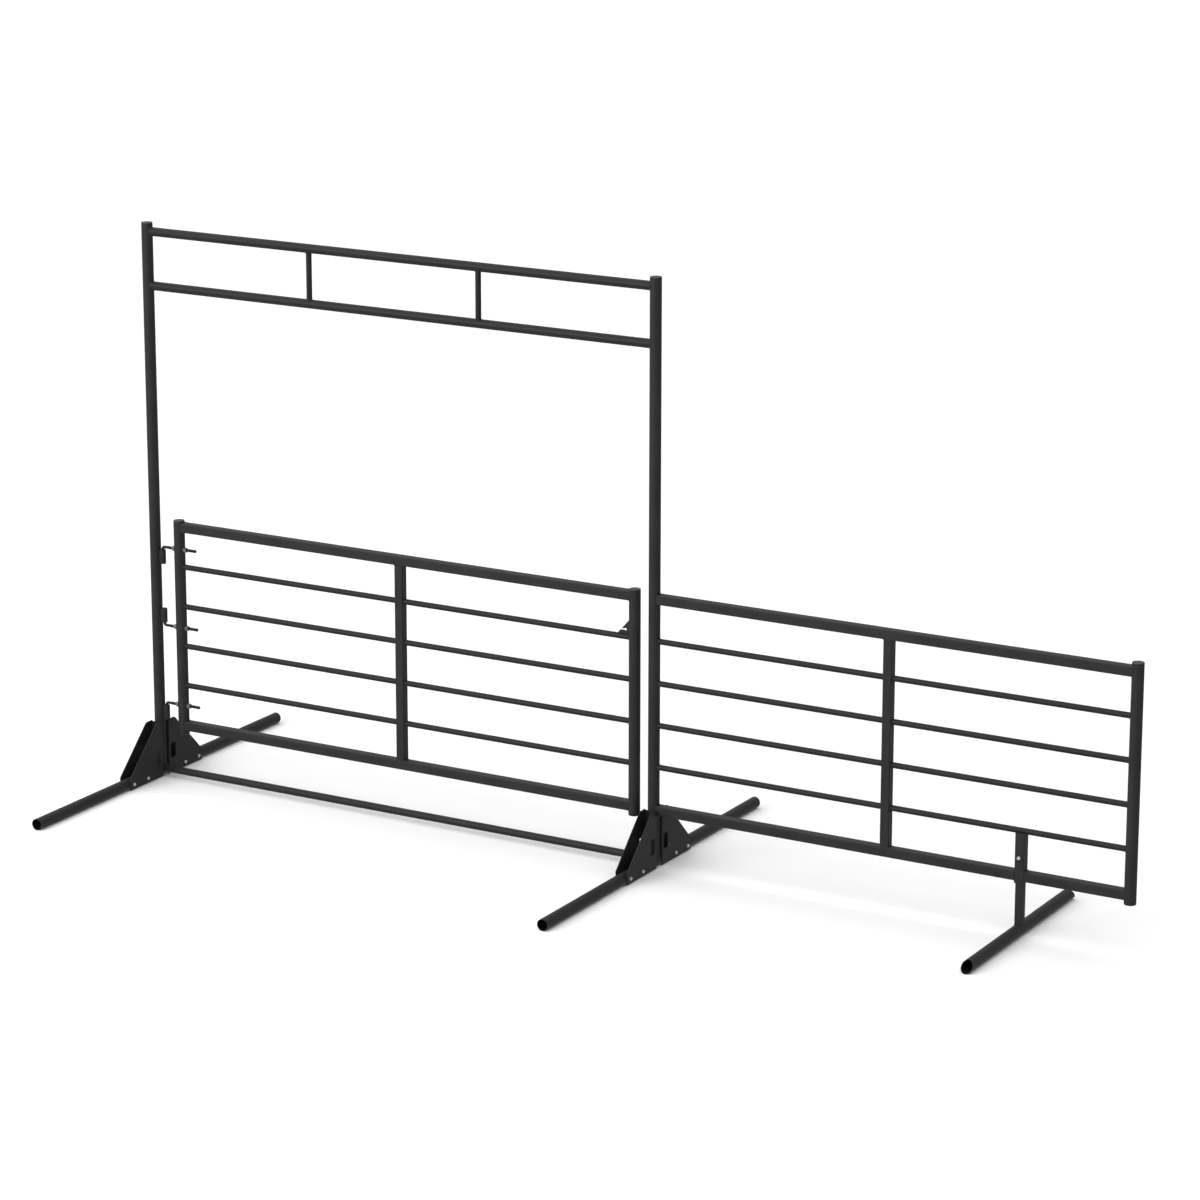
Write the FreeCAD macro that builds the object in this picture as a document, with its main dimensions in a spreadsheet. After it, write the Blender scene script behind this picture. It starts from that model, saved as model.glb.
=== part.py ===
import FreeCAD, Part
import Sketcher
import os

# Free-standing livestock panel gate: a goal-post frame with a swinging leaf in its
# left bay and a fixed panel in its right bay, on three skid feet.
# X runs along the panel, Y from front to rear, Z up. The origin is on the ground,
# under the axis of the hinge post.

App = FreeCAD
doc = App.newDocument("livestock_panel_gate")

SIZES = {
    # tubes
    "post_od": 48.3, "post_wall": 2.0,
    "rail_side": 40.0, "rail_wall": 2.0, "rail_corner": 4.0,
    "stay_side": 38.0, "slim_od": 24.0, "slim_wall": 2.0,
    "header_od": 38.1, "header_wall": 2.6, "cut_over": 5.0,
    # overall layout
    "frame_height": 2440.0, "gate_bay": 2460.0, "panel_bay": 2080.0,
    "top_rail_z": 1132.0, "rail_pitch": 176.4, "bottom_rail_z": 245.5,
    "header_top_z": 2404.0, "header_low_z": 2171.5,
    "threshold_od": 32.0, "threshold_z": 32.5,
    # leaf
    "hinge_stile_x": 127.5, "latch_gap": 90.5, "leaf_low_z": 209.0, "leaf_high_z": 1158.0,
    "leaf_stay_x": 1251.0, "panel_stay_step": 1045.0,
    # end post and caps
    "end_post_low_z": 210.0, "end_post_high_z": 1166.0,
    "cap_lip": 2.5, "cap_plug": 18.0, "cap_round": 1.8, "cap_play": 0.1,
    # feet
    "skid_len": 1776.0, "foot_plate": 3.0, "foot_side_gap": 0.4, "foot_low_z": 4.0,
    "foot_half": 265.0, "foot_toe_z": 53.0, "foot_top_half": 68.0, "foot_high_z": 250.0,
    "foot_corner": 22.0, "foot_web_high_z": 246.0,
    "slot_y": 53.5, "slot_z": 102.0, "slot_width": 36.0, "slot_height": 66.0, "slot_corner": 4.0,
    "bolt_inner_y": 138.0, "bolt_outer_y": 239.0, "bolt_dia": 8.0,
    "bolt_hole": 9.0, "bolt_head": 13.0, "bolt_head_high": 5.3, "bolt_nut_high": 6.5,
    "bolt_tail": 4.0,
    # hinges
    "bush_od": 26.9, "bush_len": 62.0, "pin_dia": 12.0, "pin_play": 0.08,
    "pin_bend": 12.0, "bush_end_gap": 0.4, "pin_recess": 4.0,
    "low_hinge_z": 334.0, "hinge_pitch": 349.0, "rod_reach": 60.0, "rod_hole": 13.0,
    "rod_nut": 19.0, "rod_nut_high": 10.0, "rod_washer_od": 24.0, "rod_washer": 2.5,
    # chain-slot plate on the latch stile
    "latch_plate": 5.0, "latch_plate_rise": 60.0, "latch_plate_run": 54.0,
    "chain_slot": 7.0, "chain_slot_rise": 18.0, "chain_eye": 11.0,
    # adjustable end leg
    "leg_x_back": 455.0, "leg_side": 32.0, "leg_wall": 2.5, "leg_corner": 3.0,
    "sleeve_wall": 3.4, "leg_play": 0.6, "sleeve_low_z": 216.0,
    "leg_high_z": 372.0, "end_skid_len": 1000.0, "skid_rake": 37.0,
    "clamp_z": 321.5, "clamp_dia": 8.0, "clamp_head": 13.0, "clamp_head_high": 8.0,
    "clamp_key": 6.0, "clamp_gap": 0.3, "sleeve_rise": 6.6,
}

sheet = doc.addObject("Spreadsheet::Sheet", "sizes")
for row, (alias, value) in enumerate(SIZES.items(), start=1):
    sheet.set(f"A{row}", alias)
    sheet.set(f"B{row}", str(value))
    sheet.setAlias(f"B{row}", alias)
doc.recompute()

pieces = []


def terms(text):
    """Expand size names into sheet references for an expression."""
    out = str(text)
    for alias in sorted(SIZES, key=len, reverse=True):
        out = out.replace(alias, "\0" + str(list(SIZES).index(alias)) + "\1")
    for index, alias in enumerate(SIZES):
        out = out.replace("\0" + str(index) + "\1", "sizes." + alias)
    return out


def bind(feature, **sizes):
    for name, text in sizes.items():
        feature.setExpression(name, terms(text))


def place(feature, at, turn=None):
    if turn is not None:
        feature.Placement = App.Placement(App.Vector(), turn)
    for axis, text in zip("xyz", at):
        feature.setExpression(f"Placement.Base.{axis}", terms(text))


ALONG_X = App.Rotation(App.Vector(0, 1, 0), 90)
ALONG_Y = App.Rotation(App.Vector(1, 0, 0), -90)
ALONG_Z = App.Rotation()
TURNS = {"x": ALONG_X, "y": ALONG_Y, "z": ALONG_Z}


def start(name):
    body = doc.addObject("PartDesign::Body", name)
    body.Label = name
    pieces.append(body)
    return body


def cylinder(body, radius, length, at, axis="z", cut=False):
    kind = "Subtractive" if cut else "Additive"
    feature = body.newObject(f"PartDesign::{kind}Cylinder", f"{body.Name}_round")
    bind(feature, Radius=radius, Height=length)
    place(feature, at, TURNS[axis])
    return feature


def block(body, size, at, cut=False):
    kind = "Subtractive" if cut else "Additive"
    feature = body.newObject(f"PartDesign::{kind}Box", f"{body.Name}_block")
    bind(feature, Length=size[0], Width=size[1], Height=size[2])
    place(feature, at)
    return feature


def hexagon(body, flats, height, at, axis="x", cut=False):
    kind = "Subtractive" if cut else "Additive"
    feature = body.newObject(f"PartDesign::{kind}Prism", f"{body.Name}_hex")
    feature.Polygon = 6
    bind(feature, Circumradius=f"({flats}) / 3 ^ 0.5", Height=height)
    place(feature, at, TURNS[axis])
    return feature


def edges_where(shape, test):
    """Names of the edges whose middle and direction pass a test."""
    names = []
    for index, edge in enumerate(shape.Edges, start=1):
        middle = edge.valueAt((edge.FirstParameter + edge.LastParameter) / 2)
        along = edge.tangentAt((edge.FirstParameter + edge.LastParameter) / 2)
        if test(middle, along, edge):
            names.append(f"Edge{index}")
    return names


def fillet(body, radius, test):
    doc.recompute()
    base = body.Tip
    names = edges_where(base.Shape, test)
    feature = body.newObject("PartDesign::Fillet", f"{body.Name}_fillet")
    feature.Base = (base, names)
    bind(feature, Radius=radius)
    return feature


def round_tube(name, od, wall, low, high, at, axis="z"):
    """Round tube whose axis runs from low to high along one axis; at gives the other two."""
    body = start(name)
    spots = {"x": (low, at[0], at[1]), "y": (at[0], low, at[1]), "z": (at[0], at[1], low)}
    base = spots[axis]
    cylinder(body, f"({od}) / 2", f"({high}) - ({low})", base, axis)
    shift = {"x": 0, "y": 1, "z": 2}[axis]
    start_at = list(base)
    start_at[shift] = f"({low}) - cut_over"
    cylinder(body, f"({od}) / 2 - ({wall})", f"({high}) - ({low}) + 2 * cut_over", start_at, axis, cut=True)
    return body


def square_tube(name, side, wall, corner, low, high, at, axis="x"):
    """Square tube with rounded outer corners, centred on at."""
    body = start(name)
    shift = {"x": 0, "z": 2}[axis]
    size = [side, side, side]
    spot = [f"({text}) - ({side}) / 2" for text in at]
    size[shift] = f"({high}) - ({low})"
    spot.insert(shift, low)
    block(body, size, spot)
    way = App.Vector(shift == 0, 0, shift == 2)
    fillet(body, corner, lambda middle, along, edge: abs(along.dot(way)) > 0.99)
    bore = f"({side}) - 2 * ({wall})"
    size = [bore, bore, bore]
    size[shift] = f"({high}) - ({low}) + 2 * cut_over"
    spot = [f"({text}) - ({bore}) / 2" for text in at]
    spot.insert(shift, f"({low}) - cut_over")
    block(body, size, spot, cut=True)
    return body


def cope(body, radius, at, low, high, axis="z"):
    """Shape a tube's end to the round tube that it is welded to."""
    spots = {"y": (at[0], low, at[1]), "z": (at[0], at[1], low)}
    cylinder(body, radius, f"({high}) - ({low})", spots[axis], axis, cut=True)


POST = "post_od / 2"
HINGE_X = "0"
LATCH_X = "gate_bay"
END_X = "gate_bay + panel_bay"
LEG_X = "gate_bay + panel_bay - leg_x_back"
PANEL_STAY_X = "gate_bay + panel_stay_step"
LATCH_STILE_X = "gate_bay - latch_gap"
SKID_TOP = "post_od"
SLEEVE = "(leg_side + 2 * leg_play + 2 * sleeve_wall)"


# ---- posts, header and threshold ------------------------------------------------
for name, x in (("hinge_post", HINGE_X), ("latch_post", LATCH_X)):
    body = round_tube(name, "post_od", "post_wall", SKID_TOP + " / 2", "frame_height", (x, "0"))
    cylinder(body, POST, "post_od * 2", (x, "-post_od", POST), "y", cut=True)


def cap(name, x, z, outward):
    """Domed end cap whose plug sits in the bore of a post or stile."""
    body = start(name)
    low = z if outward > 0 else f"({z}) - cap_lip"
    cylinder(body, POST, "cap_lip", (x, "0", low))
    rim = 1 if outward > 0 else -1
    doc.recompute()
    edge_z = body.Tip.Shape.BoundBox.ZMax if rim > 0 else body.Tip.Shape.BoundBox.ZMin
    fillet(body, "cap_round", lambda middle, along, edge: abs(middle.z - edge_z) < 0.01)
    plug_low = f"({z}) - cap_plug" if outward > 0 else z
    cylinder(body, "post_od / 2 - post_wall - cap_play", "cap_plug", (x, "0", plug_low))
    return body


cap("hinge_post_cap", HINGE_X, "frame_height", 1)
cap("latch_post_cap", LATCH_X, "frame_height", 1)

for name, z in (("header_top_rail", "header_top_z"), ("header_lower_rail", "header_low_z")):
    body = round_tube(name, "header_od", "header_wall", HINGE_X, LATCH_X, ("0", z), "x")
    for x in (HINGE_X, LATCH_X):
        cope(body, POST, (x, "0"), f"{z} - header_od", f"{z} + header_od")

for index, name in enumerate(("header_spacer_left", "header_spacer_right"), start=1):
    x = f"gate_bay * {index} / 3"
    body = round_tube(name, "slim_od", "slim_wall", "header_low_z", "header_top_z", (x, "0"))
    for z in ("header_low_z", "header_top_z"):
        cylinder(body, "header_od / 2", "slim_od * 3", (f"{x} - slim_od * 1.5", "0", z), "x", cut=True)

body = round_tube("threshold_bar", "threshold_od", "slim_wall", HINGE_X, LATCH_X,
                  ("0", "threshold_z"), "x")
for x in (HINGE_X, LATCH_X):
    cope(body, POST, (x, POST), "-post_od", "post_od", "y")
    cope(body, POST, (x, "0"), POST, "post_od * 2")


# ---- feet -------------------------------------------------------------------------
BOLT_Y = ("-bolt_outer_y", "-bolt_inner_y", "bolt_inner_y", "bolt_outer_y")
WING_OUT = "(post_od / 2 + foot_side_gap + foot_plate)"
WING_IN = "(post_od / 2 + foot_side_gap)"


def skid(name, x):
    body = round_tube(name, "post_od", "post_wall", "-skid_len / 2", "skid_len / 2", (x, POST), "y")
    for y in BOLT_Y:
        cylinder(body, "bolt_hole / 2", "post_od * 2", (f"{x} - post_od", y, POST), "x", cut=True)
    return body


def gusset_outline(body, side):
    """Side outline of a foot bracket: low toe, raked edge and flat top."""
    plane = [item for item in body.Origin.OriginFeatures if item.Role == "YZ_Plane"][0]
    sketch = body.newObject("Sketcher::SketchObject", f"{body.Name}_outline")
    sketch.AttachmentSupport = [(plane, "")]
    sketch.MapMode = "FlatFace"
    corners = (("post_od / 2", "foot_low_z"), ("foot_half", "foot_low_z"), ("foot_half", "foot_toe_z"),
               ("foot_top_half", "foot_high_z"), ("post_od / 2", "foot_high_z"))
    points = []
    for across, up in corners:
        points.append(App.Vector(side * sizes_value(across), sizes_value(up), 0))
    for index, point in enumerate(points):
        sketch.addGeometry(Part.LineSegment(point, points[(index + 1) % len(points)]), False)
    for index in range(len(points)):
        sketch.addConstraint(Sketcher.Constraint("Coincident", index, 2, (index + 1) % len(points), 1))
    for index, (across, up) in enumerate(corners):
        signed = side * sizes_value(across)
        first = sketch.addConstraint(Sketcher.Constraint("DistanceX", -1, 1, index, 1, signed))
        second = sketch.addConstraint(Sketcher.Constraint("DistanceY", -1, 1, index, 1, sizes_value(up)))
        sketch.setExpression(f"Constraints[{first}]", terms(f"{side} * ({across})"))
        sketch.setExpression(f"Constraints[{second}]", terms(up))
    return sketch


def sizes_value(text):
    """Present value of a size written in size names."""
    return float(doc.sizes.evalExpression(terms(text)))


def gusset(name, x, side):
    """Channel folded from one plate: two raked wings beside the skid, a web on the post."""
    body = start(name)
    sketch = gusset_outline(body, side)
    pad = body.newObject("PartDesign::Pad", f"{name}_pad")
    pad.Profile = sketch
    pad.Midplane = True
    bind(pad, Length=f"2 * {WING_OUT}")
    fillet(body, "foot_corner", lambda middle, along, edge: abs(along.x) > 0.99
           and abs(abs(middle.y) - sizes_value("foot_top_half")) < 0.5 and middle.z > sizes_value("foot_toe_z"))
    inner = f"2 * {WING_IN}"
    far = "foot_half"
    web_face = "post_od / 2 + foot_plate"
    low_y = web_face if side > 0 else f"-({web_face}) - {far}"
    block(body, (inner, far, "2 * foot_high_z"), (f"-{WING_IN}", low_y, "-foot_high_z"), cut=True)
    web_y = "0" if side > 0 else f"-({web_face})"
    block(body, (inner, web_face, SKID_TOP), (f"-{WING_IN}", web_y, "0"), cut=True)
    block(body, (inner, web_face, "post_od * 2"), (f"-{WING_IN}", web_y, "foot_web_high_z"), cut=True)
    slot_mid = f"{side} * slot_y"
    for wide, tall in (("slot_width", "slot_height - 2 * slot_corner"),
                       ("slot_width - 2 * slot_corner", "slot_height")):
        block(body, ("post_od * 4", wide, tall),
              ("-post_od * 2", f"{slot_mid} - ({wide}) / 2", f"slot_z - ({tall}) / 2"), cut=True)
    for y in (f"{slot_mid} - slot_width / 2 + slot_corner", f"{slot_mid} + slot_width / 2 - slot_corner"):
        for z in ("slot_z - slot_height / 2 + slot_corner", "slot_z + slot_height / 2 - slot_corner"):
            cylinder(body, "slot_corner", "post_od * 4", ("-post_od * 2", y, z), "x", cut=True)
    for y in ("bolt_inner_y", "bolt_outer_y"):
        cylinder(body, "bolt_hole / 2", "post_od * 4", ("-post_od * 2", f"{side} * {y}", POST), "x", cut=True)
    place(body, (x, "0", "0"))
    return body


def compound(name, members):
    """Several like fasteners kept together as one node of separate solids."""
    group = doc.addObject("Part::Compound", name)
    group.Label = name
    group.Links = members
    pieces.append(group)


def fastener(name):
    """One solid that a compound takes in, not a piece of its own."""
    return doc.addObject("PartDesign::Body", name)


for prefix, x in (("hinge_foot", HINGE_X), ("latch_foot", LATCH_X)):
    skid(f"{prefix}_skid", x)
    gusset(f"{prefix}_front_gusset", x, -1)
    gusset(f"{prefix}_rear_gusset", x, 1)

bolts = []
nuts = []
for prefix, x in (("hinge_foot", HINGE_X), ("latch_foot", LATCH_X)):
    for index, y in enumerate(BOLT_Y):
        bolt = fastener(f"{prefix}_bolt_{index}")
        shank = f"2 * {WING_OUT} + bolt_nut_high + bolt_tail"
        cylinder(bolt, "bolt_dia / 2", shank, (f"{x} + {WING_OUT} - ({shank})", y, POST), "x")
        hexagon(bolt, "bolt_head", "bolt_head_high", (f"{x} + {WING_OUT}", y, POST))
        bolts.append(bolt)
        nut = fastener(f"{prefix}_nut_{index}")
        hexagon(nut, "bolt_head", "bolt_nut_high", (f"{x} - {WING_OUT} - bolt_nut_high", y, POST))
        cylinder(nut, "bolt_dia / 2", "bolt_nut_high * 3",
                 (f"{x} - {WING_OUT} - bolt_nut_high * 2", y, POST), "x", cut=True)
        nuts.append(nut)
compound("foot_bolts", bolts)
compound("foot_nuts", nuts)


# ---- hinges -------------------------------------------------------------------------
BUSH_X = "(post_od / 2 + bush_od / 2)"
HINGES = (("lower", "low_hinge_z", -1), ("middle", "low_hinge_z + hinge_pitch", 1),
          ("upper", "low_hinge_z + 2 * hinge_pitch", -1))
ELBOW_DOWN = App.Rotation(App.Vector(-1, 0, 0), App.Vector(0, 0, 1), App.Vector(0, 1, 0), "XYZ")
ELBOW_UP = App.Rotation(App.Vector(0, 0, -1), App.Vector(-1, 0, 0), App.Vector(0, 1, 0), "XYZ")


def bush(name, rod_z, way):
    """Weld-on bush that the pin of a hinge bolt turns in."""
    near = f"{rod_z} + {way} * (pin_bend + bush_end_gap)"
    low = near if way > 0 else f"{near} - bush_len"
    body = start(name)
    cylinder(body, "bush_od / 2", "bush_len", (BUSH_X, "0", low))
    cylinder(body, "pin_dia / 2 + pin_play", "bush_len * 3", (BUSH_X, "0", f"{low} - bush_len"), cut=True)
    cylinder(body, POST, "bush_len * 3", ("0", "0", f"{low} - bush_len"), cut=True)
    return body


def hinge_bolt(name, rod_z, way):
    """Bent bolt: pin in the bush, elbow, and a threaded rod through the stile."""
    body = start(name)
    run = f"hinge_stile_x + post_od / 2 + rod_reach - {BUSH_X} - pin_bend"
    cylinder(body, "pin_dia / 2", run, (f"{BUSH_X} + pin_bend", "0", rod_z), "x")
    elbow = body.newObject("PartDesign::AdditiveTorus", f"{name}_elbow")
    elbow.Angle3 = 90
    bind(elbow, Radius1="pin_bend", Radius2="pin_dia / 2")
    turn = ELBOW_DOWN if way < 0 else ELBOW_UP
    place(elbow, (f"{BUSH_X} + pin_bend", "0", f"{rod_z} + {way} * pin_bend"), turn)
    drop = "bush_len + bush_end_gap - pin_recess"
    low = f"{rod_z} + pin_bend" if way > 0 else f"{rod_z} - pin_bend - ({drop})"
    cylinder(body, "pin_dia / 2", drop, (BUSH_X, "0", low))
    return body


for label, rod_z, way in HINGES:
    bush(f"hinge_bush_{label}", rod_z, way)
    hinge_bolt(f"hinge_bolt_{label}", rod_z, way)

nuts = []
washers = []
for label, rod_z, way in HINGES:
    for side in (-1, 1):
        face = f"hinge_stile_x + {side} * post_od / 2"
        low = face if side > 0 else f"{face} - rod_washer"
        washer = fastener(f"rod_washer_{label}_{side + 1}")
        cylinder(washer, "rod_washer_od / 2", "rod_washer", (low, "0", rod_z), "x")
        cylinder(washer, "pin_dia / 2", "rod_washer * 3", (f"{low} - rod_washer", "0", rod_z), "x", cut=True)
        washers.append(washer)
        low = f"{face} + rod_washer" if side > 0 else f"{face} - rod_washer - rod_nut_high"
        nut = fastener(f"rod_nut_{label}_{side + 1}")
        hexagon(nut, "rod_nut", "rod_nut_high", (low, "0", rod_z))
        cylinder(nut, "pin_dia / 2", "rod_nut_high * 3", (f"{low} - rod_nut_high", "0", rod_z), "x", cut=True)
        nuts.append(nut)
compound("hinge_washers", washers)
compound("hinge_nuts", nuts)


# ---- swinging leaf --------------------------------------------------------------------
body = round_tube("leaf_hinge_stile", "post_od", "post_wall", "leaf_low_z", "leaf_high_z",
                  ("hinge_stile_x", "0"))
for label, rod_z, way in HINGES:
    cylinder(body, "rod_hole / 2", "post_od * 2", ("hinge_stile_x - post_od", "0", rod_z), "x", cut=True)
round_tube("leaf_latch_stile", "post_od", "post_wall", "leaf_low_z", "leaf_high_z", (LATCH_STILE_X, "0"))


def stile_caps(name, z, outward):
    ends = []
    for side, x in (("hinge", "hinge_stile_x"), ("latch", LATCH_STILE_X)):
        ends.append(cap(f"{name}_{side}", x, z, outward))
        pieces.pop()
    compound(name, ends)


stile_caps("leaf_top_caps", "leaf_high_z", 1)
stile_caps("leaf_bottom_caps", "leaf_low_z", -1)


def bay_rail(name, left, right, z, left_post=True, right_post=True):
    """Square rail welded between two upright tubes."""
    body = square_tube(name, "rail_side", "rail_wall", "rail_corner", left, right, ("0", z))
    for x, is_post in ((left, left_post), (right, right_post)):
        if is_post:
            cope(body, POST, (x, "0"), f"{z} - rail_side", f"{z} + rail_side")
    return body


def slim_rails(prefix, left, stay, right):
    """Four slim rails, each cut in two by the stay."""
    for row in (1, 2, 3, 4):
        z = f"top_rail_z - {row} * rail_pitch"
        near = round_tube(f"{prefix}_slim_rail_{row}_left", "slim_od", "slim_wall", left,
                          f"{stay} - stay_side / 2", ("0", z), "x")
        cope(near, POST, (left, "0"), f"{z} - slim_od", f"{z} + slim_od")
        far = round_tube(f"{prefix}_slim_rail_{row}_right", "slim_od", "slim_wall",
                         f"{stay} + stay_side / 2", right, ("0", z), "x")
        cope(far, POST, (right, "0"), f"{z} - slim_od", f"{z} + slim_od")


def stay_tube(name, x):
    square_tube(name, "stay_side", "rail_wall", "rail_corner", "bottom_rail_z + rail_side / 2",
                "top_rail_z - rail_side / 2", (x, "0"), "z")


bay_rail("leaf_top_rail", "hinge_stile_x", LATCH_STILE_X, "top_rail_z")
bay_rail("leaf_bottom_rail", "hinge_stile_x", LATCH_STILE_X, "bottom_rail_z")
stay_tube("leaf_stay", "leaf_stay_x")
slim_rails("leaf", "hinge_stile_x", "leaf_stay_x", LATCH_STILE_X)

# Corner plate with a slot that a tie chain drops into, welded to stile and first slim rail.
plate = start("chain_slot_plate")
plane = [item for item in plate.Origin.OriginFeatures if item.Role == "XZ_Plane"][0]
sketch = plate.newObject("Sketcher::SketchObject", "chain_slot_plate_outline")
sketch.AttachmentSupport = [(plane, "")]
sketch.MapMode = "FlatFace"
corner_x = f"{LATCH_STILE_X} - post_od / 2"
corner_z = "top_rail_z - rail_pitch + slim_od / 2"
corners = ((f"{corner_x} - latch_plate_run", corner_z), (corner_x, corner_z),
           (corner_x, f"{corner_z} + latch_plate_rise"))
points = [App.Vector(sizes_value(across), sizes_value(up), 0) for across, up in corners]
for index, point in enumerate(points):
    sketch.addGeometry(Part.LineSegment(point, points[(index + 1) % 3]), False)
for index in range(3):
    sketch.addConstraint(Sketcher.Constraint("Coincident", index, 2, (index + 1) % 3, 1))
for index, (across, up) in enumerate(corners):
    first = sketch.addConstraint(Sketcher.Constraint("DistanceX", -1, 1, index, 1, sizes_value(across)))
    second = sketch.addConstraint(Sketcher.Constraint("DistanceY", -1, 1, index, 1, sizes_value(up)))
    sketch.setExpression(f"Constraints[{first}]", terms(across))
    sketch.setExpression(f"Constraints[{second}]", terms(up))
pad = plate.newObject("PartDesign::Pad", "chain_slot_plate_pad")
pad.Profile = sketch
pad.Midplane = True
bind(pad, Length="latch_plate")
slot_x = f"{corner_x} - latch_plate_run"
slot_z = f"{corner_z} + chain_slot_rise"
slot_end = f"{corner_x} - latch_plate_run / 3"
block(plate, (f"{slot_end} - ({slot_x})", "latch_plate * 2", "chain_slot"),
      (slot_x, "-latch_plate", f"{slot_z} - chain_slot / 2"), cut=True)
cylinder(plate, "chain_eye / 2", "latch_plate * 2", (slot_end, "-latch_plate", slot_z), "y", cut=True)


# ---- fixed panel ------------------------------------------------------------------------
bay_rail("panel_top_rail", LATCH_X, END_X, "top_rail_z")
bay_rail("panel_bottom_rail_left", LATCH_X, f"{LEG_X} - {SLEEVE} / 2", "bottom_rail_z",
         right_post=False)
bay_rail("panel_bottom_rail_right", f"{LEG_X} + {SLEEVE} / 2", END_X, "bottom_rail_z",
         left_post=False)
stay_tube("panel_stay", PANEL_STAY_X)
slim_rails("panel", LATCH_X, PANEL_STAY_X, END_X)
round_tube("end_post", "post_od", "post_wall", "end_post_low_z", "end_post_high_z", (END_X, "0"))
ends = [cap("end_post_cap_top", END_X, "end_post_high_z", 1),
        cap("end_post_cap_bottom", END_X, "end_post_low_z", -1)]
del pieces[-2:]
compound("end_post_caps", ends)


# ---- adjustable end leg -------------------------------------------------------------------
LOW_SLIM_Z = "top_rail_z - 4 * rail_pitch"
body = square_tube("leg_sleeve", SLEEVE, "sleeve_wall", "rail_corner", "sleeve_low_z",
                   f"{LOW_SLIM_Z} - slim_od / 2 + sleeve_rise", (LEG_X, "0"), "z")
# The sleeve's top is notched over the lowest slim rail.
cylinder(body, "slim_od / 2", f"{SLEEVE} * 2", (f"{LEG_X} - {SLEEVE}", "0", LOW_SLIM_Z), "x", cut=True)
cylinder(body, "clamp_dia / 2", SLEEVE, (LEG_X, f"-{SLEEVE}", "clamp_z"), "y", cut=True)

body = start("leg_clamp_screw")
reach = "sleeve_wall + leg_play - clamp_gap"
cylinder(body, "clamp_dia / 2", reach, (LEG_X, f"-{SLEEVE} / 2", "clamp_z"), "y")
cylinder(body, "clamp_head / 2", "clamp_head_high",
         (LEG_X, f"-{SLEEVE} / 2 - clamp_head_high", "clamp_z"), "y")
hexagon(body, "clamp_key", "clamp_head_high / 2",
        (LEG_X, f"-{SLEEVE} / 2 - clamp_head_high", "clamp_z"), "y", cut=True)

body = square_tube("leg_tube", "leg_side", "leg_wall", "leg_corner", POST, "leg_high_z",
                   (LEG_X, "0"), "z")
cylinder(body, POST, "post_od * 2", (LEG_X, "-post_od", POST), "y", cut=True)

body = round_tube("leg_skid", "post_od", "post_wall", "-end_skid_len / 2", "end_skid_len / 2",
                  (LEG_X, POST), "y")
for side in (-1, 1):
    # Each end is sawn at a rake, so that the bottom of the tube reaches furthest.
    raked = body.newObject("PartDesign::SubtractiveBox", f"leg_skid_rake_{side + 1}")
    bind(raked, Length="post_od * 2", Width="post_od * 2", Height="post_od * 4")
    turn = App.Rotation(App.Vector(1, 0, 0), side * sizes_value("skid_rake"))
    raked.Placement = App.Placement(App.Vector(), turn)
    toe_y = sizes_value("end_skid_len / 2")
    wide = sizes_value("post_od * 2")
    pivot = App.Vector(sizes_value(LEG_X), side * toe_y, 0)
    local = App.Vector(-wide / 2, 0 if side > 0 else -wide, -wide)
    raked.Placement = App.Placement(pivot + turn.multVec(local), turn)


# ---- check and write ------------------------------------------------------------------------
doc.recompute()
problems = []
for item in doc.Objects:
    if "Invalid" in item.State or "Error" in item.State:
        problems.append(f"{item.Label}: {item.State}")
for piece in pieces:
    if piece.Shape.isNull() or not piece.Shape.isValid() or not piece.Shape.Solids:
        problems.append(f"{piece.Label}: no valid shape")
if problems:
    raise RuntimeError("; ".join(problems))

os.makedirs("parts", exist_ok=True)
for piece in pieces:
    piece.Shape.exportStep(os.path.join("parts", f"{piece.Label}.step"))
print(len(pieces), "pieces written")
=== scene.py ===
import math
import bpy
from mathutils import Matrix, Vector


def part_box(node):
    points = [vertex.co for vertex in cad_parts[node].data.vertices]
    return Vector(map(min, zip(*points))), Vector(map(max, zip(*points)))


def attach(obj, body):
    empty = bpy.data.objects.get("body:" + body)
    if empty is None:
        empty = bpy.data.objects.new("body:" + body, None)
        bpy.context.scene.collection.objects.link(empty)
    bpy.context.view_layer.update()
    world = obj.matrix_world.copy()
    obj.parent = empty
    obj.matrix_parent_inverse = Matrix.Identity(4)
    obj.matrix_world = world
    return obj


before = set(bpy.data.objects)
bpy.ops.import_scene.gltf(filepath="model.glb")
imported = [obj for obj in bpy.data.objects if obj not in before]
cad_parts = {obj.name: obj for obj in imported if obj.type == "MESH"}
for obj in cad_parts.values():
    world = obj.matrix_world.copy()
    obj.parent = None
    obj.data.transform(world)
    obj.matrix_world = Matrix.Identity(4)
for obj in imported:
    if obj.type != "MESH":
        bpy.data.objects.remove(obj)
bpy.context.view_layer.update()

# ---------------------------------------------------------------------------
# The ground it stands on, the studio lamps and the camera. A plain white matt
# floor and a white sky; one wide soft lamp overhead, one softer from the left.
# ---------------------------------------------------------------------------


class Shade:
    """A value that changes over a surface; arithmetic on it adds Math nodes."""

    def __init__(self, finish, socket):
        self.finish = finish
        self.socket = socket

    def maths(self, operation, *values):
        return self.finish.add("ShaderNodeMath", {"operation": operation},
                               dict(enumerate(values)))

    def __add__(self, other):
        return self.maths("ADD", self, other)

    def __radd__(self, other):
        return self.maths("ADD", other, self)

    def __sub__(self, other):
        return self.maths("SUBTRACT", self, other)

    def __rsub__(self, other):
        return self.maths("SUBTRACT", other, self)

    def __mul__(self, other):
        return self.maths("MULTIPLY", self, other)

    def __rmul__(self, other):
        return self.maths("MULTIPLY", other, self)

    def __abs__(self):
        return self.maths("ABSOLUTE", self)


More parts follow.
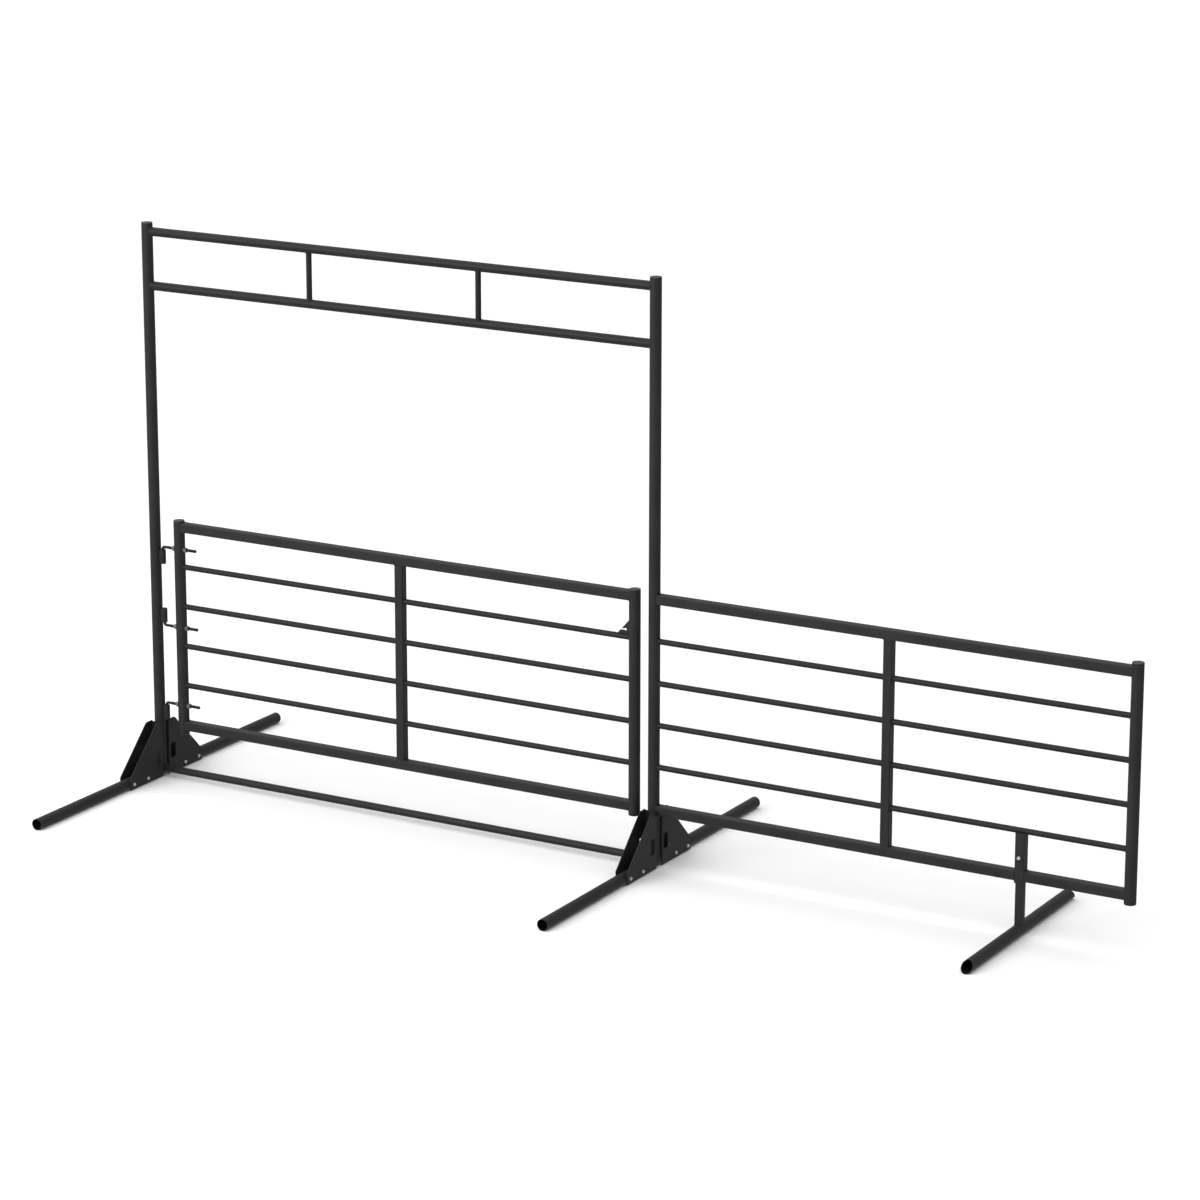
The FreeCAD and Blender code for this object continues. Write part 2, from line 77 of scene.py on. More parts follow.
class Finish:
    """One surface finish: a material with its nodes."""

    def __init__(self, name):
        self.material = bpy.data.materials.new(name)
        self.material.use_nodes = True
        self.tree = self.material.node_tree
        self.surface = self.tree.nodes["Principled BSDF"]

    def add(self, kind, settings=None, sockets=None, take=0):
        node = self.tree.nodes.new(kind)
        for key, value in (settings or {}).items():
            setattr(node, key, value)
        self.fill(node, sockets or {})
        return Shade(self, node.outputs[take])

    def fill(self, node, sockets):
        for key, value in sockets.items():
            if isinstance(value, Shade):
                self.tree.links.new(value.socket, node.inputs[key])
            else:
                node.inputs[key].default_value = value

    def place(self, stretch=(1, 1, 1), shift=0.0):
        spot = self.add("ShaderNodeTexCoord", take="Object")
        return self.add("ShaderNodeMapping", {}, {"Vector": spot, "Scale": stretch,
                                                  "Location": (shift, shift, shift)})

    def noise(self, spot, scale, detail=2.0, rough=0.5):
        return self.add("ShaderNodeTexNoise", {}, {"Vector": spot, "Scale": scale,
                                                   "Detail": detail, "Roughness": rough})

    def between(self, value, low, high):
        """0 below low, 1 above high, eased in between."""
        return self.add("ShaderNodeMapRange", {"interpolation_type": "SMOOTHSTEP"},
                        {"Value": value, "From Min": low, "From Max": high})

    def mix(self, amount, under, over):
        return self.add("ShaderNodeMix", {"data_type": "RGBA"},
                        {0: amount, 6: under, 7: over}, take=2)

    def bump(self, height, deep, strength=1.0):
        return self.add("ShaderNodeBump", {}, {"Height": height, "Distance": deep,
                                               "Strength": strength})


def grey(level, alpha=1.0):
    return (level, level, level, alpha)


floor_finish = Finish("studio_floor")
floor_finish.fill(floor_finish.surface, {
    "Base Color": floor_finish.mix(floor_finish.noise(floor_finish.place(), 3.0), grey(0.94), grey(0.96)),
    "Roughness": 0.9, "Specular IOR Level": 0.1})

FLOOR_HALF = 150.0
floor_mesh = bpy.data.meshes.new("studio_floor")
floor_mesh.from_pydata([(-FLOOR_HALF, -FLOOR_HALF, 0), (FLOOR_HALF, -FLOOR_HALF, 0),
                        (FLOOR_HALF, FLOOR_HALF, 0), (-FLOOR_HALF, FLOOR_HALF, 0)], [], [(0, 1, 2, 3)])
floor_mesh.materials.append(floor_finish.material)
floor = bpy.data.objects.new("studio_floor", floor_mesh)
bpy.context.scene.collection.objects.link(floor)
floor.visible_glossy = False

sky = bpy.data.worlds.new("studio_sky")
sky.use_nodes = True
sky_light = sky.node_tree.nodes["Background"]
sky_light.inputs["Color"].default_value = grey(1.0)
bearing = sky.node_tree.nodes.new("ShaderNodeTexCoord")
split_bearing = sky.node_tree.nodes.new("ShaderNodeSeparateXYZ")
fall_off = sky.node_tree.nodes.new("ShaderNodeMath")
fall_off.operation = "MULTIPLY_ADD"
fall_off.inputs[1].default_value = -0.16
fall_off.inputs[2].default_value = 0.48
sky.node_tree.links.new(bearing.outputs["Generated"], split_bearing.inputs[0])
sky.node_tree.links.new(split_bearing.outputs["X"], fall_off.inputs[0])
sky.node_tree.links.new(fall_off.outputs[0], sky_light.inputs["Strength"])
bpy.context.scene.world = sky


def lamp(name, kind, at, towards, power, **settings):
    light = bpy.data.lights.new(name, kind)
    light.energy = power
    for key, value in settings.items():
        setattr(light, key, value)
    holder = bpy.data.objects.new(name, light)
    holder.location = at
    holder.rotation_euler = (Vector(towards) - Vector(at)).to_track_quat("-Z", "Y").to_euler()
    bpy.context.scene.collection.objects.link(holder)


lamp("overhead_light", "SUN", (0.6, -2.6, 8.0), (2.3, 0.0, 0.0), 2.1, angle=math.radians(120.0))
lamp("front_softbox", "AREA", (-2.5, -9.0, 4.5), (2.0, 0.0, 0.8), 400.0,
     shape="RECTANGLE", size=6.0, size_y=4.0)

lens = bpy.data.cameras.new("studio_camera")
lens.sensor_width = 36.0
lens.lens = 121.74
lens.shift_x = 0.0117
lens.shift_y = -0.0582
lens.clip_end = 400.0
camera = bpy.data.objects.new("studio_camera", lens)
camera.location = (10.082, -13.716, 5.415)
camera.rotation_euler = (math.radians(75.695), 0.0, math.radians(30.065))
bpy.context.scene.collection.objects.link(camera)
bpy.context.scene.camera = camera
bpy.context.scene.view_settings.view_transform = "Standard"

# ---------------------------------------------------------------------------
# The two goal posts. Round structural steel tube, standing on the skid feet and
# coated all over in charcoal satin powder, with rub marks down their length.
# ---------------------------------------------------------------------------


TUBE_RADIUS = 0.02415
BORE_SHADE_EDGE = (0.0222, 0.0230)


def powder_coat(name, stretch, dark=0.0165, light=0.0235, seed=0.0, ground_rub=0.0, shaded_bore=None):
    """Charcoal powder: orange peel, soft blotches, rub marks along the tube, dust low down.

    The last argument is a skid's centre: inside the skid the bare mill scale is painted almost black, partly
    as painted shade in the unlit bore.
    """
    coat = Finish(name)
    spot = coat.place(shift=seed)
    blotch = coat.between(coat.noise(spot, 7.0, 4.0, 0.6), 0.32, 0.68)
    cloud = coat.noise(spot, 46.0, 3.0)
    rub = coat.between(coat.noise(coat.place(stretch, seed + 3.1), 30.0, 3.0, 0.65), 0.56, 0.74)
    peel = coat.noise(spot, 420.0, 2.0, 0.4)
    grain = coat.noise(spot, 1900.0, 1.0)
    height = coat.add("ShaderNodeSeparateXYZ", {}, {0: coat.place()}, take="Z")
    dust = (1 - coat.between(height, 0.0, 0.16)) * coat.between(coat.noise(spot, 60.0, 5.0, 0.7), 0.45, 0.8)
    # Upward faces: a little pale settled dust, which also serves as a painted highlight that lightens the
    # tops of the tubes.
    up = coat.between(coat.add("ShaderNodeSeparateXYZ", {},
                               {0: coat.add("ShaderNodeNewGeometry", take="Normal")}, take="Z"), 0.55, 1.0)
    settled_dust_and_top_sheen = up * coat.between(coat.noise(spot, 130.0, 4.0, 0.65), 0.42, 0.72)
    colour = coat.mix(blotch * 0.6 + cloud * 0.4, grey(dark), grey(light))
    colour = coat.mix(rub * 0.35, colour, grey(light * 1.9))
    colour = coat.mix(dust * (0.04 + ground_rub * 0.08), colour, (0.22, 0.215, 0.20, 1.0))
    colour = coat.mix(settled_dust_and_top_sheen * 0.03, colour, (0.33, 0.33, 0.32, 1.0))
    chips = coat.add("ShaderNodeTexVoronoi", {}, {"Vector": spot, "Scale": 70.0})
    chipped = (1 - coat.between(chips, 0.05, 0.09)) * (1 - coat.between(height, 0.001, 0.02)) * ground_rub
    colour = coat.mix(chipped, colour, grey(0.28))
    rough = 0.40 + blotch * 0.07 + cloud * 0.06 + dust * 0.18 + settled_dust_and_top_sheen * 0.12
    # Inside the skid: colour painted almost black, as painted shade in the unlit bore over the bare mill
    # scale.
    if shaded_bore is not None:
        off_axis = coat.add("ShaderNodeVectorMath", {"operation": "SUBTRACT"},
                            {0: coat.place(), 1: (shaded_bore.x, 0.0, shaded_bore.z)})
        off_axis = coat.add("ShaderNodeVectorMath", {"operation": "MULTIPLY"}, {0: off_axis, 1: (1, 0, 1)})
        radius = coat.add("ShaderNodeVectorMath", {"operation": "LENGTH"}, {0: off_axis}, take="Value")
        scale = 1 - coat.between(radius, *BORE_SHADE_EDGE)
        colour = coat.mix(scale, colour, (0.0025, 0.0022, 0.0020, 1.0))
        rough = rough + scale * 0.5
    coat.fill(coat.surface, {
        "Base Color": colour,
        "Roughness": rough,
        "Metallic": chipped * 0.8,
        "Specular IOR Level": 0.20,
        "Normal": coat.bump(peel * 0.75 + grain * 0.25, 0.00012, 0.55)})
    return coat.material


def dress(material, *names):
    for name in names:
        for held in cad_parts[name].material_slots:
            held.material = material


post_coat = powder_coat("post_powder_coat", (7.0, 7.0, 0.5))
dress(post_coat, "hinge_post", "latch_post")

# ---------------------------------------------------------------------------
# Low-domed end caps of black plastic pressed into every open upright: the two
# goal posts, the two stiles of the leaf, top and bottom, and the end post.
# ---------------------------------------------------------------------------


def moulded_plastic(name, level, seed=0.0):
    cap = Finish(name)
    spot = cap.place(shift=seed)
    grain = cap.noise(spot, 1300.0, 2.0)
    scuff = cap.between(cap.noise(spot, 240.0, 5.0, 0.7), 0.58, 0.78)
    faded = cap.noise(spot, 35.0, 3.0)
    cap.fill(cap.surface, {
        "Base Color": cap.mix(faded * 0.8 + scuff * 0.4, grey(level), grey(level * 2.2)),
        "Roughness": 0.42 + grain * 0.12 + scuff * 0.15,
        "Specular IOR Level": 0.5,
        "Normal": cap.bump(grain, 0.00010, 0.6)})
    return cap.material


cap_plastic = moulded_plastic("cap_plastic", 0.016)
dress(cap_plastic, "hinge_post_cap", "latch_post_cap", "leaf_top_caps", "leaf_bottom_caps", "end_post_caps")

# ---------------------------------------------------------------------------
# The feet. Each goal post stands on a skid of the same round tube and is braced
# front and rear by a slotted channel bracket folded from 3 mm plate.
# ---------------------------------------------------------------------------


def middle(node):
    low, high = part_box(node)
    return (low + high) / 2


for skid in ("hinge_foot_skid", "latch_foot_skid"):
    dress(powder_coat(f"{skid}_powder_coat", (7.0, 0.5, 7.0), seed=5.0, ground_rub=0.35,
                      shaded_bore=middle(skid)), skid)
bracket_coat = powder_coat("bracket_powder_coat", (4.0, 1.0, 1.0), seed=9.0, ground_rub=0.15)
dress(bracket_coat, "hinge_foot_front_gusset", "hinge_foot_rear_gusset",
      "latch_foot_front_gusset", "latch_foot_rear_gusset")


def zinc_plate(name, low, high, seed=0.0):
    zinc = Finish(name)
    spot = zinc.place(shift=seed)
    spangle = zinc.add("ShaderNodeTexVoronoi", {}, {"Vector": spot, "Scale": 260.0}, take="Color")
    flake = zinc.add("ShaderNodeSeparateXYZ", {}, {0: spangle}, take="X")
    bloom = zinc.between(zinc.noise(spot, 120.0, 5.0, 0.7), 0.5, 0.75)
    fine = zinc.noise(spot, 1500.0, 2.0)
    zinc.fill(zinc.surface, {
        "Base Color": zinc.mix(flake * 0.6 + bloom * 0.4, grey(low), grey(high)),
        "Metallic": 0.60 - bloom * 0.30,
        "Roughness": 0.36 + flake * 0.14 + bloom * 0.2,
        "Normal": zinc.bump(fine * 0.6 + flake * 0.4, 0.00006, 0.5)})
    return zinc.material


bolt_zinc = zinc_plate("bolt_zinc", 0.60, 0.82)
dress(bolt_zinc, "foot_bolts", "foot_nuts")

# ---------------------------------------------------------------------------
# Threads on the bolt tails and hinge rods. A rolled metric thread: one V ridge
# wound round each bare length of rod.
# ---------------------------------------------------------------------------


def node_tree(name, inputs):
    """An empty Geometry Nodes tree with named size inputs, its first and last nodes."""
    tree = bpy.data.node_groups.new(name, "GeometryNodeTree")
    tree.interface.new_socket("Geometry", in_out="INPUT", socket_type="NodeSocketGeometry")
    for label, (kind, default) in inputs.items():
        made = tree.interface.new_socket(label, in_out="INPUT", socket_type=kind)
        if default is not None:
            made.default_value = default
    tree.interface.new_socket("Geometry", in_out="OUTPUT", socket_type="NodeSocketGeometry")
    return tree, tree.nodes.new("NodeGroupInput"), tree.nodes.new("NodeGroupOutput")


def wire(tree, kind, settings=None, sockets=None):
    node = tree.nodes.new(kind)
    for key, value in (settings or {}).items():
        setattr(node, key, value)
    for key, value in (sockets or {}).items():
        if isinstance(value, bpy.types.NodeSocket):
            tree.links.new(value, node.inputs[key])
        else:
            node.inputs[key].default_value = value
    return node


def lines(name, runs, closed):
    """A curve object with one straight-edged line per run of points."""
    data = bpy.data.curves.new(name, "CURVE")
    data.dimensions = "3D"
    for run in runs:
        spline = data.splines.new("POLY")
        spline.points.add(len(run) - 1)
        for point, at in zip(spline.points, run):
            point.co = (*at, 1.0)
        spline.use_cyclic_u = closed
    holder = bpy.data.objects.new(name, data)
    bpy.context.scene.collection.objects.link(holder)
    return holder


def grown(holder, tree, values, name, body):
    """Run the tree on the lines, keep the result as a plain mesh and let it ride the body."""
    grower = holder.modifiers.new("grow", "NODES")
    grower.node_group = tree
    for item in tree.interface.items_tree:
        if item.item_type == "SOCKET" and item.in_out == "INPUT" and item.name in values:
            grower[item.identifier] = values[item.name]
    bpy.context.view_layer.update()
    held = holder.evaluated_get(bpy.context.evaluated_depsgraph_get())
    mesh = bpy.data.meshes.new_from_object(held)
    mesh.name = name
    holder.modifiers.remove(grower)
    bpy.data.objects.remove(holder)
    piece = bpy.data.objects.new(name, mesh)
    bpy.context.scene.collection.objects.link(piece)
    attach(piece, body)
    return piece


def thread_tree():
    """Winds a V ridge round lines that lie along X."""
    tree, given, done = node_tree("rolled_thread", {
        "Pitch": ("NodeSocketFloat", 0.00175), "Rod radius": ("NodeSocketFloat", 0.006),
        "Ridge": ("NodeSocketFloat", 0.0006), "Material": ("NodeSocketMaterial", None)})
    step = wire(tree, "ShaderNodeMath", {"operation": "DIVIDE"}, {0: given.outputs["Pitch"], 1: 18.0})
    fine = wire(tree, "GeometryNodeResampleCurve", {"mode": "LENGTH"},
                {"Curve": given.outputs["Geometry"], "Length": step.outputs[0]})
    along = wire(tree, "GeometryNodeSplineParameter")
    turns = wire(tree, "ShaderNodeMath", {"operation": "DIVIDE"},
                 {0: along.outputs["Length"], 1: given.outputs["Pitch"]})
    angle = wire(tree, "ShaderNodeMath", {"operation": "MULTIPLY"}, {0: turns.outputs[0], 1: math.tau})
    sine = wire(tree, "ShaderNodeMath", {"operation": "SINE"}, {0: angle.outputs[0]})
    cosine = wire(tree, "ShaderNodeMath", {"operation": "COSINE"}, {0: angle.outputs[0]})
    across = wire(tree, "ShaderNodeCombineXYZ", {}, {"Y": cosine.outputs[0], "Z": sine.outputs[0]})
    out = wire(tree, "ShaderNodeVectorMath", {"operation": "SCALE"},
               {0: across.outputs[0], "Scale": given.outputs["Rod radius"]})
    wound = wire(tree, "GeometryNodeSetPosition", {},
                 {"Geometry": fine.outputs[0], "Offset": out.outputs[0]})
    ridge = wire(tree, "GeometryNodeCurvePrimitiveCircle", {},
                 {"Resolution": 4, "Radius": given.outputs["Ridge"]})
    swept = wire(tree, "GeometryNodeCurveToMesh", {},
                 {"Curve": wound.outputs[0], "Profile Curve": ridge.outputs[0], "Fill Caps": True})
    real = wire(tree, "GeometryNodeRealizeInstances", {}, {0: swept.outputs[0]})
    coated = wire(tree, "GeometryNodeSetMaterial", {},
                  {"Geometry": real.outputs[0], "Material": given.outputs["Material"]})
    tree.links.new(coated.outputs[0], done.inputs[0])
    return tree


thread = thread_tree()
BOLT_ROWS = (-0.239, -0.138, 0.138, 0.239)
bolt_low, bolt_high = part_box("foot_bolts")
nut_low, nut_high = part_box("foot_nuts")
tail = nut_low.x - bolt_low.x
nut_deep = nut_low.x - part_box("hinge_foot_front_gusset")[0].x
bolt_z = (bolt_low.z + bolt_high.z) / 2
tails = []
for end in (bolt_low.x, nut_high.x + nut_deep - tail):
    tails += [[(end + 0.0004, y, bolt_z), (end + tail, y, bolt_z)] for y in BOLT_ROWS]
grown(lines("bolt_tail_lines", tails, False), thread,
      {"Pitch": 0.00125, "Rod radius": 0.004, "Ridge": 0.00045, "Material": bolt_zinc},
      "foot_bolt_threads", "frame")

# ---------------------------------------------------------------------------
# Hand-run weld beads. Every rail, stay and foot is welded all round where it
# lands on its neighbour; the beads are under the powder and share its finish.
# ---------------------------------------------------------------------------


def bead_tree():
    """Sweeps a rippled bead along closed or open weld lines."""
    tree, given, done = node_tree("weld_bead", {
        "Ripple pitch": ("NodeSocketFloat", 0.0034), "Bead radius": ("NodeSocketFloat", 0.0022),
        "Ripple depth": ("NodeSocketFloat", 0.16), "Wander": ("NodeSocketFloat", 0.22),
        "Material": ("NodeSocketMaterial", None)})
    step = wire(tree, "ShaderNodeMath", {"operation": "DIVIDE"}, {0: given.outputs["Ripple pitch"], 1: 3.6})
    fine = wire(tree, "GeometryNodeResampleCurve", {"mode": "LENGTH"},
                {"Curve": given.outputs["Geometry"], "Length": step.outputs[0]})
    along = wire(tree, "GeometryNodeSplineParameter")
    turns = wire(tree, "ShaderNodeMath", {"operation": "DIVIDE"},
                 {0: along.outputs["Length"], 1: given.outputs["Ripple pitch"]})
    angle = wire(tree, "ShaderNodeMath", {"operation": "MULTIPLY"}, {0: turns.outputs[0], 1: math.pi})
    sine = wire(tree, "ShaderNodeMath", {"operation": "SINE"}, {0: angle.outputs[0]})
    hump = wire(tree, "ShaderNodeMath", {"operation": "ABSOLUTE"}, {0: sine.outputs[0]})
    ripple = wire(tree, "ShaderNodeMath", {"operation": "MULTIPLY_ADD"},
                  {0: hump.outputs[0], 1: given.outputs["Ripple depth"], 2: 0.8})
    spot = wire(tree, "GeometryNodeInputPosition")
    drift = wire(tree, "ShaderNodeTexNoise", {}, {"Vector": spot.outputs[0], "Scale": 70.0, "Detail": 1.0})
    swell = wire(tree, "ShaderNodeMath", {"operation": "MULTIPLY"},
                 {0: drift.outputs[0], 1: given.outputs["Wander"]})
    thick = wire(tree, "ShaderNodeMath", {"operation": "ADD"}, {0: ripple.outputs[0], 1: swell.outputs[0]})
    round_bead = wire(tree, "GeometryNodeCurvePrimitiveCircle", {},
                      {"Resolution": 7, "Radius": given.outputs["Bead radius"]})
    swept = wire(tree, "GeometryNodeCurveToMesh", {},
                 {"Curve": fine.outputs[0], "Profile Curve": round_bead.outputs[0],
                  "Scale": thick.outputs[0], "Fill Caps": True})
    real = wire(tree, "GeometryNodeRealizeInstances", {}, {0: swept.outputs[0]})
    smooth = wire(tree, "GeometryNodeSetShadeSmooth", {}, {"Geometry": real.outputs[0]})
    coated = wire(tree, "GeometryNodeSetMaterial", {},
                  {"Geometry": smooth.outputs[0], "Material": given.outputs["Material"]})
    tree.links.new(coated.outputs[0], done.inputs[0])
    return tree


def round_edge(radius, points=36):
    return [(radius * math.cos(math.tau * k / points), radius * math.sin(math.tau * k / points))
            for k in range(points)]


def square_edge(half, corner=0.004, points=5):
    """Outline of a square tube with rounded corners."""
    inner = half - corner
    edge = []
    for quarter, (u, v) in enumerate(((1, 1), (-1, 1), (-1, -1), (1, -1))):
        for k in range(points):
            turn = math.pi / 2 * (quarter + k / (points - 1))
            edge.append((u * inner + corner * math.cos(turn), v * inner + corner * math.sin(turn)))
    return edge


def on_round(reach, radius):
    """How far from a round tube's axis its skin is, at that distance off the axis."""
    return math.sqrt(max(radius * radius - reach * reach, 0.0))


def rail_seam(rail, edge, end, upright=None):
    """Weld line at one end of a rail along X, on a flat face or on a round upright."""
    low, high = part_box(rail)
    centre = middle(rail)
    seam = []
    for y, z in edge:
        if upright is None:
            x = low.x if end < 0 else high.x
        else:
            post_low, post_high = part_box(upright)
            x = (post_low.x + post_high.x) / 2 - end * on_round(y, (post_high.x - post_low.x) / 2)
        seam.append((x, centre.y + y, centre.z + z))
    return seam


def stay_seam(stay, edge, end):
    """Weld line at the top or bottom of a stay along Z, on a flat face."""
    low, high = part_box(stay)
    centre = middle(stay)
    z = low.z if end < 0 else high.z
    return [(centre.x + x, centre.y + y, z) for x, y in edge]


RAIL_EDGE = square_edge(0.020)
STAY_EDGE = square_edge(0.019)
SLIM_EDGE = round_edge(0.012)
HEADER_RADIUS = 0.01905
HEADER_EDGE = round_edge(HEADER_RADIUS)


def slim_seams(side, left_upright, right_upright):
    """Welds at both ends of both halves of the four slim rails."""
    seams = []
    for number in range(1, 5):
        seams.append(rail_seam(f"{side}_slim_rail_{number}_left", SLIM_EDGE, -1, left_upright))
        seams.append(rail_seam(f"{side}_slim_rail_{number}_left", SLIM_EDGE, 1))
        seams.append(rail_seam(f"{side}_slim_rail_{number}_right", SLIM_EDGE, -1))
        seams.append(rail_seam(f"{side}_slim_rail_{number}_right", SLIM_EDGE, 1, right_upright))
    return seams


bead = bead_tree()
bead_coat = powder_coat("bead_powder_coat", (1.0, 1.0, 1.0), seed=13.0)

frame_seams = []
for header in ("header_top_rail", "header_lower_rail"):
    frame_seams.append(rail_seam(header, HEADER_EDGE, -1, "hinge_post"))
    frame_seams.append(rail_seam(header, HEADER_EDGE, 1, "latch_post"))
for spacer in ("header_spacer_left", "header_spacer_right"):
    centre = middle(spacer)
    for header, side in (("header_lower_rail", 1), ("header_top_rail", -1)):
        axis_z = middle(header).z
        frame_seams.append([(centre.x + x, centre.y + y, axis_z + side * on_round(y, HEADER_RADIUS))
                            for x, y in SLIM_EDGE])
frame_seams.append(rail_seam("panel_top_rail", RAIL_EDGE, -1, "latch_post"))
frame_seams.append(rail_seam("panel_top_rail", RAIL_EDGE, 1, "end_post"))
frame_seams.append(rail_seam("panel_bottom_rail_left", RAIL_EDGE, -1, "latch_post"))
frame_seams.append(rail_seam("panel_bottom_rail_left", RAIL_EDGE, 1))
frame_seams.append(rail_seam("panel_bottom_rail_right", RAIL_EDGE, -1))
frame_seams.append(rail_seam("panel_bottom_rail_right", RAIL_EDGE, 1, "end_post"))
frame_seams += slim_seams("panel", "latch_post", "end_post")
frame_seams += [stay_seam("panel_stay", STAY_EDGE, -1), stay_seam("panel_stay", STAY_EDGE, 1)]
for post, skid in (("hinge_post", "hinge_foot_skid"), ("latch_post", "latch_foot_skid")):
    centre, axis_z = middle(post), middle(skid).z
    frame_seams.append([(centre.x + x, centre.y + y, axis_z + on_round(x, TUBE_RADIUS))
                        for x, y in round_edge(TUBE_RADIUS)])
grown(lines("frame_weld_lines", frame_seams, True), bead, {"Material": bead_coat},
      "frame_weld_beads", "frame")

straight_seams = []
for post in ("hinge_post", "latch_post"):
    centre = middle(post)
    for side in (-1, 1):
        for front in (-1, 1):
            straight_seams.append([(centre.x + side * 0.0092, front * 0.0238, 0.056),
                                   (centre.x + side * 0.0092, front * 0.0238, 0.245)])
for bush in ("hinge_bush_lower", "hinge_bush_middle", "hinge_bush_upper"):
    low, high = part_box(bush)
    for side in (-1, 1):
        straight_seams.append([(low.x + 0.0006, side * 0.0068, low.z + 0.002),
                               (low.x + 0.0006, side * 0.0068, high.z - 0.002)])
grown(lines("foot_and_bush_weld_lines", straight_seams, False), bead,
      {"Bead radius": 0.0029, "Material": bead_coat}, "foot_and_bush_weld_beads", "frame")

leaf_seams = [rail_seam("leaf_top_rail", RAIL_EDGE, -1, "leaf_hinge_stile"),
              rail_seam("leaf_top_rail", RAIL_EDGE, 1, "leaf_latch_stile"),
              rail_seam("leaf_bottom_rail", RAIL_EDGE, -1, "leaf_hinge_stile"),
              rail_seam("leaf_bottom_rail", RAIL_EDGE, 1, "leaf_latch_stile"),
              stay_seam("leaf_stay", STAY_EDGE, -1), stay_seam("leaf_stay", STAY_EDGE, 1)]
leaf_seams += slim_seams("leaf", "leaf_hinge_stile", "leaf_latch_stile")
grown(lines("leaf_weld_lines", leaf_seams, True), bead, {"Material": bead_coat},
      "leaf_weld_beads", "leaf")
plate_low, plate_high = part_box("chain_slot_plate")
SUNK = 0.0004
plate_seams = [[(plate_high.x - SUNK, y, plate_low.z + 0.002), (plate_high.x - SUNK, y, plate_high.z - 0.002)]
               for y in (plate_low.y - SUNK, plate_high.y + SUNK)]
grown(lines("plate_weld_lines", plate_seams, False), bead, {"Material": bead_coat},
      "chain_plate_weld_beads", "leaf")

leg_centre, leg_axis_z = middle("leg_tube"), middle("leg_skid").z
leg_seam = [(leg_centre.x + x, leg_centre.y + y, leg_axis_z + on_round(x, TUBE_RADIUS))
            for x, y in square_edge(0.016, 0.003)]
grown(lines("leg_weld_line", [leg_seam], True), bead, {"Material": bead_coat},
      "leg_weld_bead", "end_leg")

# ---------------------------------------------------------------------------
# The header: two round tubes across the top of the doorway with two short
# spacers between them, and the round threshold bar between the skids.
# ---------------------------------------------------------------------------

# A darker copy of the same charcoal powder: painted shade that keeps these round tubes from rendering too
# light on top.
header_shaded_coat = powder_coat("header_shaded_powder_coat", (0.5, 7.0, 7.0), 0.0125, 0.0185, seed=17.0)
dress(header_shaded_coat, "header_top_rail", "header_lower_rail", "header_spacer_left", "header_spacer_right",
      "threshold_bar")

# ---------------------------------------------------------------------------
# The swinging leaf: round stiles, square top and bottom rails and centre stay,
# and four rows of slim round rails.
# ---------------------------------------------------------------------------

rail_coat = powder_coat("rail_powder_coat", (0.5, 7.0, 7.0), seed=21.0)
# The slim rails take a darker copy of the same charcoal powder: painted shade that keeps their round tops
# from rendering too light.
slim_rail_shaded_coat = powder_coat("slim_rail_shaded_powder_coat", (0.5, 7.0, 7.0), 0.0120, 0.0175, seed=21.0)
upright_coat = powder_coat("upright_powder_coat", (7.0, 7.0, 0.5), seed=25.0)
SLIM_SIDES = [f"{number}_{side}" for number in range(1, 5) for side in ("left", "right")]
dress(rail_coat, "leaf_top_rail", "leaf_bottom_rail")
dress(slim_rail_shaded_coat, *(f"leaf_slim_rail_{place}" for place in SLIM_SIDES))
dress(upright_coat, "leaf_hinge_stile", "leaf_latch_stile", "leaf_stay")

# ---------------------------------------------------------------------------
# Hinges: three bushes welded to the hinge post, cranked threaded rods through
# the stile, and a nut and washer on each side of it.
# ---------------------------------------------------------------------------

dress(post_coat, "hinge_bush_lower", "hinge_bush_middle", "hinge_bush_upper")
# The hinge nuts and washers take a much darker copy of the zinc: partly duller plating, partly painted shade
# where they sit beside the stile.
dress(zinc_plate("hinge_nut_shaded_zinc", 0.15, 0.24, 5.0), "hinge_nuts", "hinge_washers")


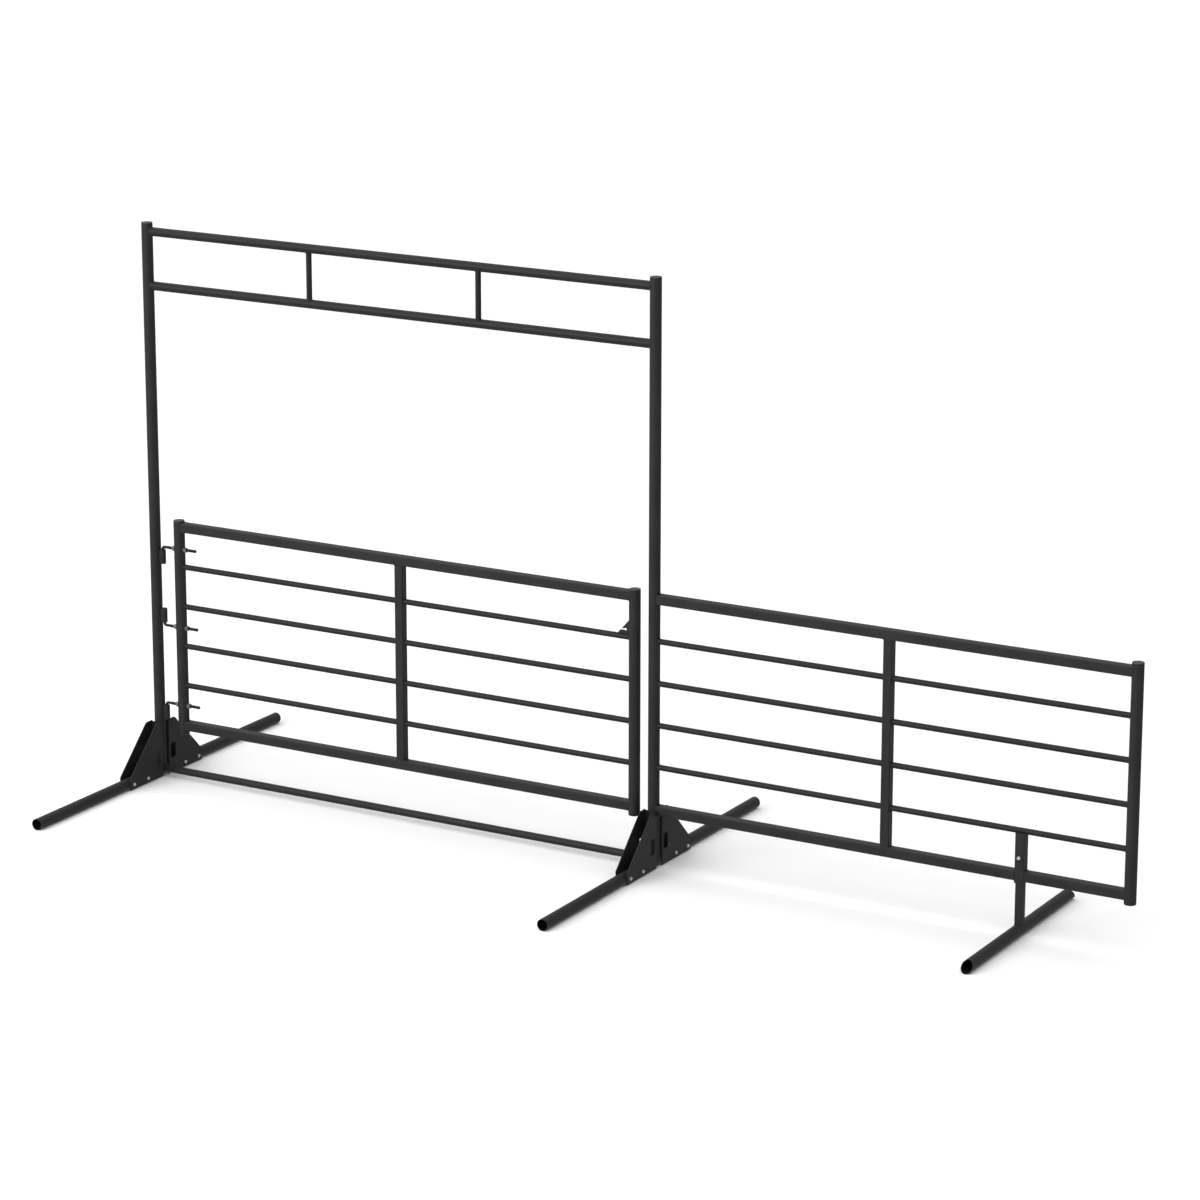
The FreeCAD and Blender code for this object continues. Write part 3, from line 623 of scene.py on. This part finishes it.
def black_oxide(name):
    """Oil-blackened steel, rubbed thin in places."""
    rod = Finish(name)
    spot = rod.place(shift=31.0)
    worn = rod.between(rod.noise(spot, 320.0, 4.0, 0.65), 0.60, 0.80)
    shade = rod.noise(spot, 60.0, 3.0)
    rod.fill(rod.surface, {
        "Base Color": rod.mix(worn * 0.5 + shade * 0.3, grey(0.006), grey(0.034)),
        "Metallic": 0.35 + worn * 0.4,
        "Roughness": 0.42 + shade * 0.12,
        "Normal": rod.bump(rod.noise(spot, 1400.0, 2.0), 0.00005, 0.5)})
    return rod.material


rod_black = black_oxide("hinge_rod_black_oxide")
dress(rod_black, "hinge_bolt_lower", "hinge_bolt_middle", "hinge_bolt_upper")

THREAD_START = 0.068
ROD_RADIUS = 0.006
rods = []
for rod, bend_up in (("hinge_bolt_lower", False), ("hinge_bolt_middle", True), ("hinge_bolt_upper", False)):
    low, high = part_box(rod)
    rod_z = low.z + ROD_RADIUS if bend_up else high.z - ROD_RADIUS
    rods.append([(THREAD_START, 0.0, rod_z), (high.x - 0.0006, 0.0, rod_z)])
grown(lines("hinge_rod_lines", rods, False), thread, {"Material": rod_black},
      "hinge_rod_threads", "leaf")

# ---------------------------------------------------------------------------
# The chain-slot plate: a small keyhole plate welded to the latch stile.
# ---------------------------------------------------------------------------

dress(rail_coat, "chain_slot_plate")

# ---------------------------------------------------------------------------
# The fixed panel in the right bay, made like the leaf, with its end post.
# ---------------------------------------------------------------------------

dress(rail_coat, "panel_top_rail", "panel_bottom_rail_left", "panel_bottom_rail_right")
dress(slim_rail_shaded_coat, *(f"panel_slim_rail_{place}" for place in SLIM_SIDES))
dress(upright_coat, "panel_stay", "end_post")

# ---------------------------------------------------------------------------
# The sliding end leg: a square tube in a square sleeve, held by a clamp screw,
# on its own short skid with raked ends.
# ---------------------------------------------------------------------------

dress(upright_coat, "leg_sleeve", "leg_tube")
dress(powder_coat("leg_skid_powder_coat", (7.0, 0.5, 7.0), seed=6.0, ground_rub=0.35,
                  shaded_bore=middle("leg_skid")), "leg_skid")
dress(bolt_zinc, "leg_clamp_screw")
